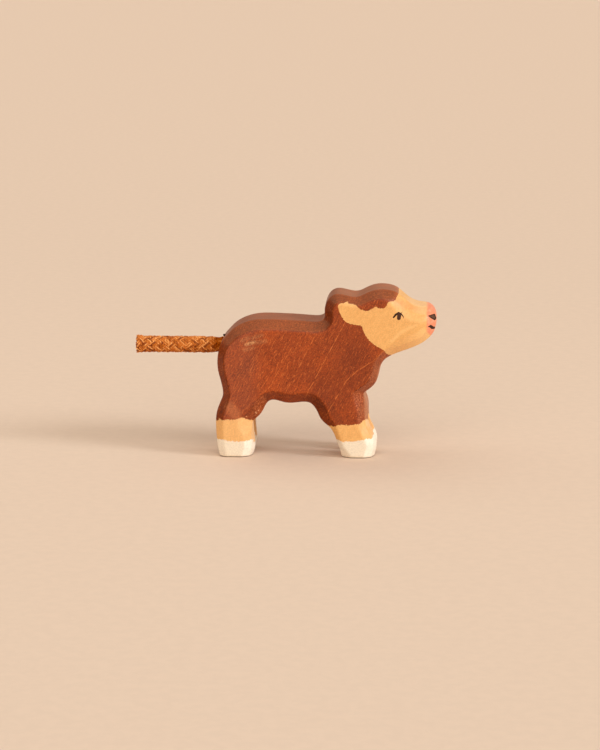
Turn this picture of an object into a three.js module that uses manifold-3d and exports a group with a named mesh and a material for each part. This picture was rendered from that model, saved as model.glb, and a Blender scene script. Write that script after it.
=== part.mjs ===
// Wooden toy calf: a plank sawn to a calf's profile, carved along every edge and split into four
// legs, with a short stiff cord glued into a blind hole in the rump as its tail.
// Millimetres. +X points to the muzzle, +Z is up, and the four soles stand on Z = 0.
import * as THREE from 'three';
import { mergeVertices } from 'three/addons/utils/BufferGeometryUtils.js';
import Module from 'manifold-3d';

const wasm = await Module();
wasm.setup();

// Profile
const BODY_LENGTH = 37.8; // rearmost point to nape
const HEAD_LENGTH = 38.9; // nape to muzzle
const LEG_HEIGHT = 18.8; // floor to belly
const BODY_DEPTH = 29.6; // belly to back
const HEAD_RISE = 10.8; // back to poll
const HEAD_DEPTH = 23.4; // poll to throat
const ELBOW_RISE = 3.9; // belly to the notch between chest and foreleg
const HIND_HEEL_SETBACK = 1.2; // rearmost point to the hind sole
const HIND_SOLE_LENGTH = 11.6;
const ARCH_SPAN = 31.2; // hind sole to fore sole
const FORE_SOLE_LENGTH = 11.4;

// Plank and carving
const PLANK_THICKNESS = 22;
const CHAMFER_WIDTH = 2.7; // seen on the side face
const REAR_CHAMFER = 2.5; // hind leg and rump
const BACK_CHAMFER = 3.1;
const BELLY_CHAMFER = 3.7;
const CHAMFER_DEPTH = 3.5; // into the plank
const MUZZLE_CHAMFER = 5; // the head narrows and its edges round off towards the muzzle
const MUZZLE_DEPTH = 6.2;
const ROUND_MIDDLE = 0.3; // share of the depth at the middle of a rounded edge
const HOOF_DEPTH = 1.6; // chamfers turn shallow down the legs
const HOOF_HEIGHT = 8;
const SOLE_ROUND = 0.6; // at heel and toe
const SOLE_EASE = 0.5; // along the outer side
const HEEL_CHAMFER = 2.3;
const TOE_CHAMFER = 3.8;
const LEG_FRONT_CHAMFER = 3.5;
const PASTERN_CHAMFER = 1.6; // behind the fore hoof
const FLANK_CHAMFER = 5.2; // where the belly meets the thigh
const EDGE_WEAR = 0.15;
const EDGE_WEAR_DEPTH = 0.6;
const LEG_FACET = 1; // second facet on the front edge of a leg
const LEG_FACET_DEPTH = 2.8;
const HEEL_CUT_HEIGHT = 6.2; // facet on the heel of a fore hoof
const HEEL_CUT_LENGTH = 3.6;
const HEEL_CUT_DEPTH = 2.6;
const LEG_GAP = 6; // between left and right legs
const LEG_GAP_HEIGHT = 16;
const LEG_GAP_CHAMFER = 1.1;

// Shares of a stretch of the outline over which one carving turns into another
const FORE_FACET_FADE = 0.25; // from the elbow down
const FORE_HOOF_FADE = 0.75; // from here down to the sole
const HIND_FACET_FADE = 0.4; // from the hock down
const HIND_HOOF_FADE = 0.5; // from here down to the sole
const HOCK_FADE = 0.35; // from the hock down
const PASTERN_FADE_START = 0.15; // from the fore sole up
const PASTERN_FADE_END = 0.35;
const FLANK_FADE = 0.8; // from here back to the thigh
const BACK_FADE_START = 0.6; // of the body's depth, from the belly up
const BACK_FADE_END = 0.9;
const NAPE_FADE = 0.12; // of the head, from the nape on
const HEAD_FADE = 0.38; // of the head, from the nape on, that keeps the plank's thickness
const ROUND_FADE_START = 0.5; // of the head, where its edges turn from flat chamfers
const ROUND_FADE_END = 0.75; // to rounded ones

// Tail
const CORD_DIAMETER = 6;
const CORD_CLEARANCE = 0.3; // cord to bore, and between stretches of the cord
const TAIL_DROP = 10.3; // back to the tail's axis
const TAIL_BORE_DEPTH = 14;
const TAIL_REACH = 29.4; // hole's mouth to the cut end
const TAIL_FLEX_LENGTH = 12; // stretch that bends
const FRAY_FLARE = 0.3; // the cut end spreads by this much
const FRAY_LENGTH = 3.5;
const GLUE_THICKNESS = 1.4; // behind the cord's end
const GLUE_BEAD_DIAMETER = 1.1; // squeezed out above the cord
const BEAD_SPREAD = 1.6; // how much wider than high the bead is

// Resolution
const OUTLINE_STEP = 1.05;
const CORD_SIDES = 12;
const BORE_SIDES = 24;
const BEAD_SIDES = 10;
const SOLE_STEPS = 3;
const MITRE_TURN = 0.3; // sharper corners of an inset outline are mitred
const MERGE_DISTANCE = 1e-4;
const FOLD_SPAN = 25.2; // longest stretch of the outline that an inset folds
const OVERCUT = 2; // cutters run past the wood by this much

// Places that follow from the sizes
const REAR_X = -(BODY_LENGTH + HEAD_LENGTH) / 2;
const NAPE_X = REAR_X + BODY_LENGTH;
const BACK_Z = LEG_HEIGHT + BODY_DEPTH;
const POLL_Z = BACK_Z + HEAD_RISE;
const THROAT_Z = POLL_Z - HEAD_DEPTH;
const ELBOW_Z = LEG_HEIGHT + ELBOW_RISE;
const HIND_HEEL_X = REAR_X + HIND_HEEL_SETBACK;
const HIND_TOE_X = HIND_HEEL_X + HIND_SOLE_LENGTH;
const FORE_HEEL_X = HIND_TOE_X + ARCH_SPAN;
const FORE_TOE_X = FORE_HEEL_X + FORE_SOLE_LENGTH;
const HALF_PLANK = PLANK_THICKNESS / 2;
const TAIL_Z = BACK_Z - TAIL_DROP;
const CORD_RADIUS = CORD_DIAMETER / 2;
const BORE_RADIUS = CORD_RADIUS + CORD_CLEARANCE;

// Profile points are given in percent of the box that holds their stretch.
function inBox(box, percents) {
  return percents.map(([u, v]) => [
    box.x + (u / 100) * box.width,
    box.z + (v / 100) * box.height,
  ]);
}

const QUARTERS = { x: REAR_X, z: 0, width: BODY_LENGTH, height: BACK_Z };
const HEAD = { x: NAPE_X, z: THROAT_Z, width: HEAD_LENGTH, height: HEAD_DEPTH };
const FORELEG = { x: FORE_HEEL_X, z: 0, width: FORE_SOLE_LENGTH, height: ELBOW_Z };
const ARCH = { x: HIND_TOE_X, z: 0, width: ARCH_SPAN, height: LEG_HEIGHT };

const hindLegRearAndBack = inBox(QUARTERS, [
  [1.2, 9], [0, 25.3], [0.6, 31.5], [2.5, 36.3], [5.4, 41.7], [6.4, 45.5], [4.9, 53], [1.7, 63],
  [1.2, 70], [2.6, 77], [5.6, 83.7], [10, 88.1], [17.3, 93.7], [26, 97.4], [36, 99.6], [50, 100.1],
  [66, 99.6], [83, 98.9], [94, 98.5], [98.4, 99.6],
]);

const headAndJaw = inBox(HEAD, [
  [0.3, 58], [0, 68], [1.2, 77.5], [4.6, 87.3], [9, 91.9], [13, 92.7], [19.4, 90.6], [25.9, 88.3],
  [31, 89.3], [37, 94], [43.6, 98.3], [50.8, 100], [58, 98.9], [63.7, 95.7], [67.6, 91.2],
  [73.5, 83], [79.2, 77.3], [85.6, 74.6], [91.3, 73.6], [95.3, 71], [98.6, 64.5], [100, 54.5],
  [99.4, 44.6], [97.8, 35.4], [94.3, 27.8], [87.7, 19.1], [78.9, 12.5], [69.4, 6.9], [59.6, 0.3],
]);

const forelegFront = inBox(FORELEG, [
  [66.5, 100], [69.5, 93], [75.5, 85], [79.5, 77], [79.3, 68.5], [79.8, 60], [83, 50], [93, 39.5],
  [102, 29], [106, 21], [105, 12],
]);

const elbow = forelegFront[0];
const throat = headAndJaw.at(-1);
const BREAST = { x: elbow[0], z: elbow[1], width: throat[0] - elbow[0], height: throat[1] - elbow[1] };
const breast = inBox(BREAST, [
  [75.5, 88.5], [62.5, 74], [58.5, 60], [53.6, 46], [45.3, 29], [29.5, 15.5], [0, 0],
]);

const forelegRearAndBelly = inBox(ARCH, [
  [97, 19], [94.5, 30], [91.8, 43], [87.4, 55], [80.3, 64.5], [75.9, 72.5], [72.8, 83.5],
  [69, 93.5], [64.5, 100.5], [57.5, 102.4], [51, 101.4], [44, 100], [36.5, 100.6], [30, 103.5],
  [24, 105.7], [19.3, 104.5], [15.5, 99], [12.5, 88.8], [8.8, 79], [0.2, 66],
]);

const hindLegFront = inBox(ARCH, [
  [0.2, 66], [0.6, 57], [1.2, 44], [2.1, 30], [2.5, 20], [2.2, 12],
]);

function smoothstep(low, high, value) {
  const t = Math.min(Math.max((value - low) / (high - low), 0), 1);
  return t * t * (3 - 2 * t);
}

function blend(from, to, share) {
  return from + (to - from) * share;
}

// Share of the head that lies behind a point; 0 for the rest of the calf
function headShare(x, z) {
  return z < ELBOW_Z ? 0 : Math.max(x - NAPE_X, 0) / HEAD_LENGTH;
}

// How deep a chamfer runs into the plank
function chamferDepth(x, z) {
  const muzzle = Math.max(headShare(x, z) - HEAD_FADE, 0) / (1 - HEAD_FADE);
  const depth = blend(CHAMFER_DEPTH, MUZZLE_DEPTH, muzzle ** 2);
  return blend(HOOF_DEPTH, depth, smoothstep(HOOF_HEIGHT, LEG_HEIGHT, z));
}

// 0 for a flat chamfer, 1 for a rounded edge
function roundness(x, z) {
  return smoothstep(ROUND_FADE_START, ROUND_FADE_END, headShare(x, z));
}

// A stretch of the outline: a smooth run through its points, with the carving along it.
// chamfer, facet and facetDepth are functions of the share of the run that is behind a point.
function smoothRun(points, carving = {}) {
  const curve = new THREE.CatmullRomCurve3(
    points.map(([x, z]) => new THREE.Vector3(x, 0, z)), false, 'centripetal');
  const count = Math.max(2, Math.round(curve.getLength() / OUTLINE_STEP));
  return curve.getSpacedPoints(count).slice(0, -1).map((point, index) => {
    const t = index / count;
    return {
      x: point.x,
      z: point.z,
      depth: chamferDepth(point.x, point.z),
      round: roundness(point.x, point.z),
      chamfer: carving.chamfer ? carving.chamfer(t) : edgeChamfer(point),
      facet: carving.facet ? carving.facet(t) : EDGE_WEAR,
      facetDepth: carving.facetDepth ? carving.facetDepth(t) : EDGE_WEAR_DEPTH,
    };
  });
}

// From the hind heel up the rump, along the back and round the head
function edgeChamfer(point) {
  const high = smoothstep(BACK_FADE_START, BACK_FADE_END, (point.z - LEG_HEIGHT) / BODY_DEPTH);
  const rear = blend(HEEL_CHAMFER, REAR_CHAMFER, smoothstep(0, HOOF_HEIGHT, point.z));
  const body = blend(rear, BACK_CHAMFER, high);
  const head = blend(CHAMFER_WIDTH, MUZZLE_CHAMFER, roundness(point.x, point.z));
  return blend(body, head, smoothstep(-NAPE_FADE, NAPE_FADE, (point.x - NAPE_X) / HEAD_LENGTH));
}

// The rounded corner of a hoof, from its sole up. An inset slides it along X, so that it stays on
// the floor. The last point belongs to the stretch above.
function hoofCorner(x, slide, carving) {
  const corner = [];
  for (let step = 0; step < SOLE_STEPS; step += 1) {
    const turn = (Math.PI / 2) * (1 - step / SOLE_STEPS);
    corner.push({
      x: x + slide * SOLE_ROUND * (1 - Math.cos(turn)),
      z: SOLE_ROUND * (1 - Math.sin(turn)),
      depth: HOOF_DEPTH,
      round: 0,
      slide,
      ...carving,
    });
  }
  return corner;
}

// The corner of a toe, from its front down to the sole
function toeCorner(x) {
  const carving = { chamfer: TOE_CHAMFER, facet: LEG_FACET, facetDepth: LEG_FACET_DEPTH };
  return hoofCorner(x, -1, carving).reverse();
}

function heelCorner(x, chamfer) {
  return hoofCorner(x, 1, { chamfer, facet: EDGE_WEAR, facetDepth: EDGE_WEAR_DEPTH });
}

// The second facet of a leg's front edge fades in below the top of the leg.
function legFacet(top) {
  return {
    facet: (t) => blend(EDGE_WEAR, LEG_FACET, smoothstep(0, top, t)),
    facetDepth: (t) => blend(EDGE_WEAR_DEPTH, LEG_FACET_DEPTH, smoothstep(0, top, t)),
  };
}

// From the thigh down to the hind toe
function hindFrontChamfer(t) {
  const hock = blend(FLANK_CHAMFER, LEG_FRONT_CHAMFER, smoothstep(0, HOCK_FADE, t));
  return blend(hock, TOE_CHAMFER, smoothstep(HIND_HOOF_FADE, 1, t));
}

// From the heel of the fore hoof up to the belly, and back to the thigh
function archChamfer(t) {
  const leg = blend(PASTERN_CHAMFER, BELLY_CHAMFER, smoothstep(PASTERN_FADE_START, PASTERN_FADE_END, t));
  return blend(leg, FLANK_CHAMFER, smoothstep(FLANK_FADE, 1, t));
}

const outline = [
  ...heelCorner(HIND_HEEL_X, HEEL_CHAMFER),
  ...smoothRun([[HIND_HEEL_X, SOLE_ROUND], ...hindLegRearAndBack, ...headAndJaw, ...breast]),
  ...smoothRun([...forelegFront, [FORE_TOE_X, SOLE_ROUND]], {
    chamfer: (t) => blend(LEG_FRONT_CHAMFER, TOE_CHAMFER, smoothstep(FORE_HOOF_FADE, 1, t)),
    ...legFacet(FORE_FACET_FADE),
  }),
  ...toeCorner(FORE_TOE_X),
  ...heelCorner(FORE_HEEL_X, PASTERN_CHAMFER),
  ...smoothRun([[FORE_HEEL_X, SOLE_ROUND], ...forelegRearAndBelly], { chamfer: archChamfer }),
  ...smoothRun([...hindLegFront, [HIND_TOE_X, SOLE_ROUND]], {
    chamfer: hindFrontChamfer,
    ...legFacet(HIND_FACET_FADE),
  }),
  ...toeCorner(HIND_TOE_X),
];

// The outline moved inwards by a width for each of its segments, with mitred corners.
// The outline runs clockwise as seen from -Y, so the wood lies to the right of each segment.
function insetOutline(points, widthOf, onFloor = false) {
  const count = points.length;
  const normals = points.map((point, i) => {
    const next = points[(i + 1) % count];
    return new THREE.Vector2(next.z - point.z, point.x - next.x).normalize();
  });
  const inset = points.map((point, i) => {
    const before = (i + count - 1) % count;
    const [a, b] = [normals[before], normals[i]];
    const [widthA, widthB] = [widthOf(points[before]), widthOf(point)];
    const turn = a.x * b.y - a.y * b.x;
    if (onFloor && point.slide) {
      return { x: point.x + point.slide * widthB, z: point.z };
    }
    if (Math.abs(turn) < MITRE_TURN) {
      const along = a.clone().add(b).normalize().multiplyScalar((widthA + widthB) / 2);
      return { x: point.x + along.x, z: point.z + along.y };
    }
    return {
      x: point.x + (widthA * b.y - widthB * a.y) / turn,
      z: point.z + (widthB * a.x - widthA * b.x) / turn,
    };
  });
  return unfold(inset);
}

// Where two segments cross, if they do
function crossing(a, b, c, d) {
  const across = (b.x - a.x) * (d.z - c.z) - (b.z - a.z) * (d.x - c.x);
  const s = ((c.x - a.x) * (d.z - c.z) - (c.z - a.z) * (d.x - c.x)) / across;
  const t = ((c.x - a.x) * (b.z - a.z) - (c.z - a.z) * (b.x - a.x)) / across;
  const meets = across !== 0 && s >= 0 && s <= 1 && t >= 0 && t <= 1;
  return meets ? { x: a.x + s * (b.x - a.x), z: a.z + s * (b.z - a.z) } : null;
}

// Where a tight bend folds an inset outline over itself, the folded points meet at the crossing.
function unfold(inset) {
  const at = (i) => inset[i % inset.length];
  const longest = Math.round(FOLD_SPAN / OUTLINE_STEP);
  for (let i = 0; i < inset.length; i += 1) {
    for (let span = longest; span >= 2; span -= 1) {
      const meeting = crossing(at(i), at(i + 1), at(i + span), at(i + span + 1));
      for (let k = 1; meeting && k <= span; k += 1) {
        inset[(i + k) % inset.length] = { ...meeting };
      }
    }
  }
  return inset;
}

// Triangles that close a ring, counterclockwise as seen from -Y; points that met count once
function capTriangles(ring) {
  const kept = ring.map((p, i) => i).filter((i) => (
    i === 0 || ring[i].x !== ring[i - 1].x || ring[i].z !== ring[i - 1].z
  ));
  const flat = kept.map((i) => new THREE.Vector2(ring[i].x, ring[i].z));
  return THREE.ShapeUtils.triangulateShape(flat, []).map(([a, b, c]) => (
    THREE.ShapeUtils.isClockWise([flat[a], flat[b], flat[c]]) ? [a, c, b] : [a, b, c]
  )).map((corners) => corners.map((corner) => kept[corner]));
}

// A closed solid through rings of equal count, listed from -Y to +Y, with flat ends.
function ringLoft(rings) {
  const count = rings[0].length;
  const position = rings.flat().flatMap((p) => [p.x, p.y, p.z]);
  const index = capTriangles(rings[0]).flat();
  for (let r = 0; r + 1 < rings.length; r += 1) {
    for (let i = 0; i < count; i += 1) {
      const j = (i + 1) % count;
      const [a, b, c, d] = [r * count + i, r * count + j, (r + 1) * count + j, (r + 1) * count + i];
      index.push(a, b, c, a, c, d);
    }
  }
  const last = (rings.length - 1) * count;
  for (const [a, b, c] of capTriangles(rings.at(-1))) {
    index.push(last + a, last + c, last + b);
  }
  const geometry = new THREE.BufferGeometry();
  geometry.setAttribute('position', new THREE.Float32BufferAttribute(position, 3));
  geometry.setIndex(index);
  return geometry;
}

function toSolid(geometry) {
  const bare = geometry.clone();
  bare.deleteAttribute('normal');
  bare.deleteAttribute('uv');
  const merged = mergeVertices(bare, MERGE_DISTANCE);
  const corners = merged.index.array;
  const triangles = [];
  for (let i = 0; i < corners.length; i += 3) {
    const [a, b, c] = corners.slice(i, i + 3);
    if (a !== b && b !== c && c !== a) {
      triangles.push(a, b, c);
    }
  }
  return new wasm.Manifold(new wasm.Mesh({
    numProp: 3,
    vertProperties: new Float32Array(merged.attributes.position.array),
    triVerts: new Uint32Array(triangles),
  }));
}

function toGeometry(solid) {
  const mesh = solid.getMesh();
  const geometry = new THREE.BufferGeometry();
  geometry.setAttribute('position', new THREE.BufferAttribute(new Float32Array(mesh.vertProperties), 3));
  geometry.setIndex(new THREE.BufferAttribute(new Uint32Array(mesh.triVerts), 1));
  geometry.computeVertexNormals();
  return geometry;
}

function ringAt(points, yOf) {
  return points.map((p, i) => ({ x: p.x, y: yOf(outline[i]), z: p.z }));
}

// The sawn plank with its carved edges: side face, chamfer in two steps, second facet, saw-cut edge,
// and the same back again.
function carvedPlank() {
  const face = insetOutline(outline, (p) => p.chamfer, true);
  const middle = insetOutline(outline, (p) => (p.facet + p.chamfer) / 2, true);
  const shoulder = insetOutline(outline, (p) => p.facet, true);
  const middleY = (p) => HALF_PLANK - p.depth * blend(0.5, ROUND_MIDDLE, p.round);
  const shoulderY = (p) => HALF_PLANK - p.depth;
  const edgeY = (p) => shoulderY(p) - p.facetDepth;
  return ringLoft([
    ringAt(face, () => -HALF_PLANK),
    ringAt(middle, (p) => -middleY(p)),
    ringAt(shoulder, (p) => -shoulderY(p)),
    ringAt(outline, (p) => -edgeY(p)),
    ringAt(outline, edgeY),
    ringAt(shoulder, shoulderY),
    ringAt(middle, middleY),
    ringAt(face, () => HALF_PLANK),
  ]);
}

// The wood that stays on one side of the leg gap: its edges lean back by the gap's chamfer.
function gapCheek(side) {
  const inner = insetOutline(outline, () => LEG_GAP_CHAMFER);
  const outer = insetOutline(outline, () => -LEG_GAP_CHAMFER);
  const rings = [
    ringAt(inner, () => side * (LEG_GAP / 2)),
    ringAt(outer, () => side * (LEG_GAP / 2 + 2 * LEG_GAP_CHAMFER)),
  ];
  return ringLoft(side > 0 ? rings : rings.reverse());
}

// A round-topped slot along the whole calf, less the cheeks, parts the left legs from the right.
function legGapCutter() {
  const radius = LEG_GAP / 2 + LEG_GAP_CHAMFER;
  const springing = LEG_GAP_HEIGHT - radius;
  const section = new THREE.Shape();
  section.moveTo(-radius, -OVERCUT);
  section.lineTo(radius, -OVERCUT);
  section.lineTo(radius, springing);
  section.absarc(0, springing, radius, 0, Math.PI);
  const length = BODY_LENGTH + HEAD_LENGTH + 2 * OVERCUT;
  const slot = new THREE.ExtrudeGeometry(section, {
    depth: length,
    bevelEnabled: false,
    curveSegments: BORE_SIDES / 2,
  });
  slot.applyMatrix4(new THREE.Matrix4().makeBasis(
    new THREE.Vector3(0, 1, 0), new THREE.Vector3(0, 0, 1), new THREE.Vector3(1, 0, 0)));
  slot.translate(REAR_X - OVERCUT, 0, 0);
  return toSolid(slot).subtract(toSolid(gapCheek(1))).subtract(toSolid(gapCheek(-1)));
}

// A block whose inner face is the plane through three points, on the far side from the wood.
function knifeBlock(a, b, c, size, woodSide) {
  const plane = new THREE.Plane().setFromCoplanarPoints(a, b, c);
  const out = plane.distanceToPoint(woodSide) > 0 ? plane.normal.clone().negate() : plane.normal.clone();
  const middle = a.clone().add(b).add(c).divideScalar(3);
  const block = new THREE.BoxGeometry(size, size, size);
  block.translate(0, 0, size / 2);
  block.applyQuaternion(new THREE.Quaternion().setFromUnitVectors(new THREE.Vector3(0, 0, 1), out));
  block.translate(middle.x, middle.y, middle.z);
  return block;
}

// One slanting cut takes the outer lower corner off the heel of each fore hoof.
function heelCut(side) {
  const faceY = side * HALF_PLANK;
  const pastern = forelegRearAndBelly[0];
  return knifeBlock(
    new THREE.Vector3(FORE_HEEL_X + HEEL_CUT_LENGTH, faceY, 0),
    new THREE.Vector3(pastern[0], faceY, HEEL_CUT_HEIGHT),
    new THREE.Vector3(FORE_HEEL_X, faceY - side * HEEL_CUT_DEPTH, 0),
    2 * HEEL_CUT_HEIGHT,
    new THREE.Vector3(FORE_TOE_X, 0, ELBOW_Z));
}

// A slanting cut eases the outer edge of both soles of one side.
function soleCut(side) {
  const faceY = side * HALF_PLANK;
  return knifeBlock(
    new THREE.Vector3(HIND_HEEL_X, faceY, SOLE_EASE),
    new THREE.Vector3(HIND_TOE_X, faceY - side * SOLE_EASE, 0),
    new THREE.Vector3(FORE_TOE_X, faceY, SOLE_EASE),
    2 * BODY_LENGTH,
    new THREE.Vector3(0, 0, BACK_Z));
}

// Rearmost reach of the rump between two heights
function rumpReach(lowZ, highZ) {
  const near = outline.filter((p) => p.z >= lowZ && p.z <= highZ && p.x < REAR_X + BODY_LENGTH / 2);
  return Math.min(...near.map((p) => p.x));
}

const MOUTH_X = rumpReach(TAIL_Z - BORE_RADIUS, TAIL_Z + BORE_RADIUS);
const BORE_END_X = MOUTH_X + TAIL_BORE_DEPTH;

function tailBore() {
  const length = TAIL_BORE_DEPTH + OVERCUT;
  const bore = new THREE.CylinderGeometry(BORE_RADIUS, BORE_RADIUS, length, BORE_SIDES);
  bore.rotateZ(Math.PI / 2);
  bore.translate(BORE_END_X - length / 2, 0, TAIL_Z);
  return bore;
}

function woodBody() {
  return toGeometry(toSolid(carvedPlank())
    .subtract(legGapCutter())
    .subtract(toSolid(heelCut(-1)))
    .subtract(toSolid(heelCut(1)))
    .subtract(toSolid(soleCut(-1)))
    .subtract(toSolid(soleCut(1)))
    .subtract(toSolid(tailBore())));
}

// A round stretch of cord from one X to a smaller one; flare widens its far end.
function cordStretch(fromX, toX, flare = 0) {
  const length = fromX - toX;
  const profile = [
    new THREE.Vector2(0, 0),
    new THREE.Vector2(CORD_RADIUS, 0),
    new THREE.Vector2(CORD_RADIUS, Math.max(length - FRAY_LENGTH, length / 2)),
    new THREE.Vector2(CORD_RADIUS + flare, length),
    new THREE.Vector2(0, length),
  ];
  const stretch = new THREE.LatheGeometry(profile, CORD_SIDES);
  stretch.rotateZ(Math.PI / 2);
  stretch.translate(fromX, 0, TAIL_Z);
  return toGeometry(toSolid(stretch));
}

const GLUE_END_X = BORE_END_X - CORD_CLEARANCE;
const ROOT_START_X = GLUE_END_X - GLUE_THICKNESS - CORD_CLEARANCE;
const ROOT_END_X = MOUTH_X - CORD_CLEARANCE;
const FLEX_START_X = ROOT_END_X - CORD_CLEARANCE;
const FLEX_END_X = FLEX_START_X - TAIL_FLEX_LENGTH;
const TIP_START_X = FLEX_END_X - CORD_CLEARANCE;
const TIP_END_X = MOUTH_X - TAIL_REACH;

// A set puddle of glue at the bottom of the hole
function gluePlug() {
  const plug = new THREE.CylinderGeometry(CORD_RADIUS, CORD_RADIUS, GLUE_THICKNESS, BORE_SIDES);
  plug.rotateZ(Math.PI / 2);
  plug.translate(GLUE_END_X - GLUE_THICKNESS / 2, 0, TAIL_Z);
  return plug;
}

// A drop squeezed out above the cord, resting on the cord and against the rump
function glueBead() {
  const radius = GLUE_BEAD_DIAMETER / 2;
  const beadZ = TAIL_Z + CORD_RADIUS + CORD_CLEARANCE + radius;
  const beadX = rumpReach(beadZ - radius, beadZ + radius) - CORD_CLEARANCE - radius;
  const bead = new THREE.SphereGeometry(radius, BEAD_SIDES, BEAD_SIDES);
  bead.scale(1, BEAD_SPREAD, 1);
  bead.translate(beadX, 0, beadZ);
  return bead;
}

function part(name, geometry, color, roughness) {
  const material = new THREE.MeshStandardMaterial({ color, roughness, metalness: 0 });
  const mesh = new THREE.Mesh(geometry, material);
  mesh.name = name;
  return mesh;
}

const calf = new THREE.Group();
calf.add(part('wood_body', woodBody(), 0xa84c28, 0.6));
calf.add(part('glue_plug', gluePlug(), 0x6a4022, 0.4));
calf.add(part('glue_bead', glueBead(), 0x3a1c10, 0.4));

const tail = new THREE.Group();
tail.add(part('tail_root', cordStretch(ROOT_START_X, ROOT_END_X), 0xb5652c, 0.9));
tail.add(part('tail_flex', cordStretch(FLEX_START_X, FLEX_END_X), 0xd07c3a, 0.9));
tail.add(part('tail_end', cordStretch(TIP_START_X, TIP_END_X, FRAY_FLARE), 0xd67c3e, 0.9));
calf.add(tail);

export default calf;
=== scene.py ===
# Wooden toy calf: a carved, stained and painted plank on four legs, with a braided cord tail
import math

import bmesh
import bpy
import numpy as np
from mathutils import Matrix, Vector, noise


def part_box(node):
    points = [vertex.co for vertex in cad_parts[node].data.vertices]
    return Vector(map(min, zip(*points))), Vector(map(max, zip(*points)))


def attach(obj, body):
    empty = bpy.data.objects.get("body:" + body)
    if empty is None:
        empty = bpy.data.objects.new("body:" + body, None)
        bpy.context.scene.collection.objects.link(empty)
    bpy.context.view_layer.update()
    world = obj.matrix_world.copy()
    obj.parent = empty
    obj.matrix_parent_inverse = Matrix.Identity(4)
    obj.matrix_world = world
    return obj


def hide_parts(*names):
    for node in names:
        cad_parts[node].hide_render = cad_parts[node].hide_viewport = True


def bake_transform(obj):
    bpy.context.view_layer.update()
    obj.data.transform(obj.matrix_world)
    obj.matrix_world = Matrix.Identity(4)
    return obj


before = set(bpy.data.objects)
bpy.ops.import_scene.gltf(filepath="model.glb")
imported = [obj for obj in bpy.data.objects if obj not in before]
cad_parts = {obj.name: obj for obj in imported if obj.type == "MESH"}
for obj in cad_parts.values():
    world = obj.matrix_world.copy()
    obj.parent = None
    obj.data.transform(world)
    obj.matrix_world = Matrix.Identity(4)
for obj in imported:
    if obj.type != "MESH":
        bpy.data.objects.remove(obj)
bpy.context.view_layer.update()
scene = bpy.context.scene
mm = 0.001
print("frame loaded:", sorted(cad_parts))


# camera: where the picture was taken from, in the calf's own frame
cameraLook = {
    "place": (0.03634, -0.96876, 0.21065),
    "aim": (-0.00935, 0.0, 0.0274),
    "lens": 135.0,
    "sensor": 36.0,  # along the picture's long side
    "clip": (0.01, 50.0),
}


def addCamera(look):
    data = bpy.data.cameras.new("pictureCamera")
    data.lens = look["lens"]
    data.sensor_width = look["sensor"]
    data.clip_start, data.clip_end = look["clip"]
    camera = bpy.data.objects.new("pictureCamera", data)
    camera.location = look["place"]
    sight = Vector(look["aim"]) - Vector(look["place"])
    camera.rotation_euler = sight.to_track_quat("-Z", "Y").to_euler()
    scene.collection.objects.link(camera)
    scene.camera = camera


addCamera(cameraLook)
scene.view_settings.view_transform = "Standard"
print("camera set")


# small helpers for node trees
def colour(code, share=1.0):
    # a colour as written in sRGB, such as "b2522a", made linear and dimmed to a share of itself
    parts = [int(code[i:i + 2], 16) / 255 for i in (0, 2, 4)]
    linear = [p / 12.92 if p <= 0.04045 else ((p + 0.055) / 1.055) ** 2.4 for p in parts]
    return tuple(share * p for p in linear) + (1.0,)


def addNode(tree, kind, sockets=None, **settings):
    node = tree.nodes.new(kind)
    for name, value in settings.items():
        setattr(node, name, value)
    for key, value in (sockets or {}).items():
        if isinstance(value, bpy.types.NodeSocket):
            tree.links.new(value, node.inputs[key])
        else:
            node.inputs[key].default_value = value
    return node


def calc(tree, operation, *values, clamp=False):
    sockets = dict(enumerate(values))
    return addNode(tree, "ShaderNodeMath", sockets, operation=operation, use_clamp=clamp).outputs[0]


def chain(tree, operation, values):
    # one operation along a row of values, from the left
    result = values[0]
    for value in values[1:]:
        result = calc(tree, operation, result, value)
    return result


def plus(tree, *values):
    return chain(tree, "ADD", values)


def minus(tree, *values):
    return chain(tree, "SUBTRACT", values)


def times(tree, *values):
    return chain(tree, "MULTIPLY", values)


def over(tree, *values):
    return chain(tree, "DIVIDE", values)


def highest(tree, *values):
    return chain(tree, "MAXIMUM", values)


def lowest(tree, *values):
    return chain(tree, "MINIMUM", values)


def vectorCalc(tree, operation, *values):
    node = addNode(tree, "ShaderNodeVectorMath", dict(enumerate(values)), operation=operation)
    return node.outputs["Value" if operation in ("DOT_PRODUCT", "LENGTH") else "Vector"]


def scaled(tree, vector, share):
    node = addNode(tree, "ShaderNodeVectorMath", {0: vector, "Scale": share}, operation="SCALE")
    return node.outputs["Vector"]


def joinVector(tree, x, y, z):
    return addNode(tree, "ShaderNodeCombineXYZ", {"X": x, "Y": y, "Z": z}).outputs["Vector"]


def splitVector(tree, vector):
    return addNode(tree, "ShaderNodeSeparateXYZ", {"Vector": vector}).outputs


def fade(tree, value, low, high, toLow=0.0, toHigh=1.0):
    sockets = {"Value": value, "From Min": low, "From Max": high, "To Min": toLow, "To Max": toHigh}
    node = addNode(tree, "ShaderNodeMapRange", sockets, interpolation_type="SMOOTHSTEP", clamp=True)
    return node.outputs["Result"]


def mixColour(tree, share, first, second, blend="MIX"):
    sockets = {0: share, 6: first, 7: second}
    return addNode(tree, "ShaderNodeMix", sockets, data_type="RGBA", blend_type=blend).outputs[2]


def grainNoise(tree, place, scale, detail=2.0, roughness=0.5):
    sockets = {"Vector": place, "Scale": scale, "Detail": detail, "Roughness": roughness}
    return addNode(tree, "ShaderNodeTexNoise", sockets).outputs["Fac"]


def attributeValue(tree, name, output="Fac"):
    return addNode(tree, "ShaderNodeAttribute", attribute_name=name).outputs[output]


def objectPlace(tree):
    return addNode(tree, "ShaderNodeTexCoord").outputs["Object"]


def newMaterial(name):
    material = bpy.data.materials.new(name)
    material.use_nodes = True
    material.node_tree.nodes.clear()
    return material, material.node_tree


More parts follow.
